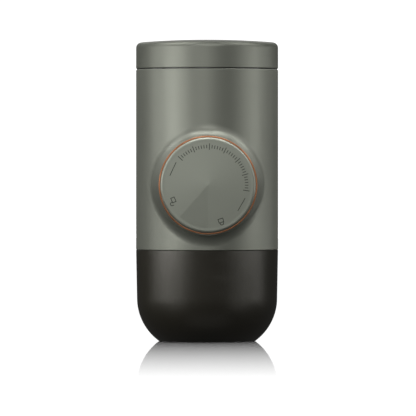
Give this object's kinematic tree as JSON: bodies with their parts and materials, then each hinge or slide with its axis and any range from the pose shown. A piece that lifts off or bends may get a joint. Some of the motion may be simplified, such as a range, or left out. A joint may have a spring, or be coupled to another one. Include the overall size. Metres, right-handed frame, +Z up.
{
  "type": "handheld manual espresso maker",
  "caption": "Upright cylindrical hand-pumped espresso maker: screw-on water tank on top, side pump knob that locks flush, coffee basket and spout under a round-bottomed cup.",
  "frame": {"origin": "middle of the cup's foot, on the surface that the maker stands on", "axes": "+Z up the body towards the tank's cap; the pump knob faces -Y; +X to the right seen from the knob"},
  "size_m": [0.072, 0.0785, 0.1526],
  "materials": {
    "sage_paint": "satin",
    "knob_paint": "satin",
    "copper_ring": "satin",
    "black_cup": "matte",
    "black_plastic": "matte",
    "frame_plastic": "matte",
    "tank_plastic": "smoked",
    "pressed_steel": "brushed",
    "screw_steel": "plain",
    "spring_steel": "drawn",
    "ball_steel": "polished",
    "seal_rubber": "silicone"
  },
  "bodies": {
    "main_body": {"body_shell": "sage_paint", "accent_ring": "copper_ring", "piston_collar": "black_plastic", "collar_screws": "screw_steel", "pump_spring": "spring_steel", "pump_frame": "frame_plastic", "rod_guide": "frame_plastic", "valve_block": "frame_plastic", "valve_block_screws": "screw_steel", "inlet_valve_seat": "frame_plastic", "outlet_valve_retainer": "frame_plastic", "inlet_spring": "spring_steel", "outlet_spring": "spring_steel", "port_seals": "seal_rubber", "tank_socket": "black_plastic", "vent_valve": "seal_rubber", "group_head": "black_plastic", "tie_screws": "screw_steel", "shower_screen": "pressed_steel", "screen_screw": "screw_steel", "group_gasket": "seal_rubber"},
    "plunger": {"plunger": "frame_plastic", "piston_seal": "seal_rubber", "knob_washer": "screw_steel", "knob_screw": "screw_steel"},
    "knob": {"knob_cap": "knob_paint", "knob_sleeve": "black_plastic"},
    "tank_seal": {"tank_seal": "seal_rubber"},
    "water_tank": {"tank_vessel": "tank_plastic", "tank_cover": "sage_paint"},
    "cup_seal": {"cup_seal": "seal_rubber"},
    "cup": {"cup": "black_cup"},
    "filter_basket": {"filter_basket": "pressed_steel"},
    "outlet_head": {"outlet_head": "black_plastic"},
    "inlet_ball": {"inlet_ball": "ball_steel"},
    "outlet_ball": {"outlet_ball": "ball_steel"}
  },
  "joints": [
    {"name": "pump_stroke", "type": "slide", "parent": "main_body", "child": "plunger", "axis": [0, -1, 0], "range_m": [0, 0.017], "deforming": ["pump_spring"]},
    {"name": "knob_lock_turn", "type": "hinge", "parent": "plunger", "child": "knob", "pos_m": [0, 0, 0.079], "axis": [0, -1, 0], "range_deg": [0, 45]},
    {"name": "tank_lift", "type": "slide", "parent": "main_body", "child": "tank_seal", "axis": [0, 0, 1], "range_m": [0, 0.0401]},
    {"name": "tank_unscrew", "type": "hinge", "parent": "tank_seal", "child": "water_tank", "pos_m": [0, 0, 0.12], "axis": [0, 0, 1], "range_deg": [0, 720]},
    {"name": "cup_unscrew", "type": "hinge", "parent": "main_body", "child": "cup_seal", "pos_m": [0, 0, 0.045], "axis": [0, 0, -1], "range_deg": [0, 720]},
    {"name": "cup_drop", "type": "slide", "parent": "cup_seal", "child": "cup", "axis": [0, 0, -1], "range_m": [0, 0.0401]},
    {"name": "basket_drop", "type": "slide", "parent": "main_body", "child": "filter_basket", "axis": [0, 0, -1], "range_m": [0, 0.00601]},
    {"name": "outlet_head_unscrew", "type": "hinge", "parent": "filter_basket", "child": "outlet_head", "pos_m": [0, 0, 0.035], "axis": [0, 0, -1], "range_deg": [0, 180]},
    {"name": "inlet_valve_lift", "type": "slide", "parent": "main_body", "child": "inlet_ball", "axis": [0, 0, -1], "range_m": [0, 0.0012], "stiffness_N_per_m": 40, "springref_m": -0.001, "deforming": ["inlet_spring"]},
    {"name": "outlet_valve_lift", "type": "slide", "parent": "main_body", "child": "outlet_ball", "axis": [0, 0, -1], "range_m": [0, 0.0012], "stiffness_N_per_m": 40, "springref_m": -0.001, "deforming": ["outlet_spring"]}
  ],
  "couplings": [
    {"joint": "tank_lift", "follows": "tank_unscrew", "m_per_rad": 0.0031831},
    {"joint": "cup_drop", "follows": "cup_unscrew", "m_per_rad": 0.0031831},
    {"joint": "basket_drop", "follows": "outlet_head_unscrew", "m_per_rad": 0.0019099}
  ]
}
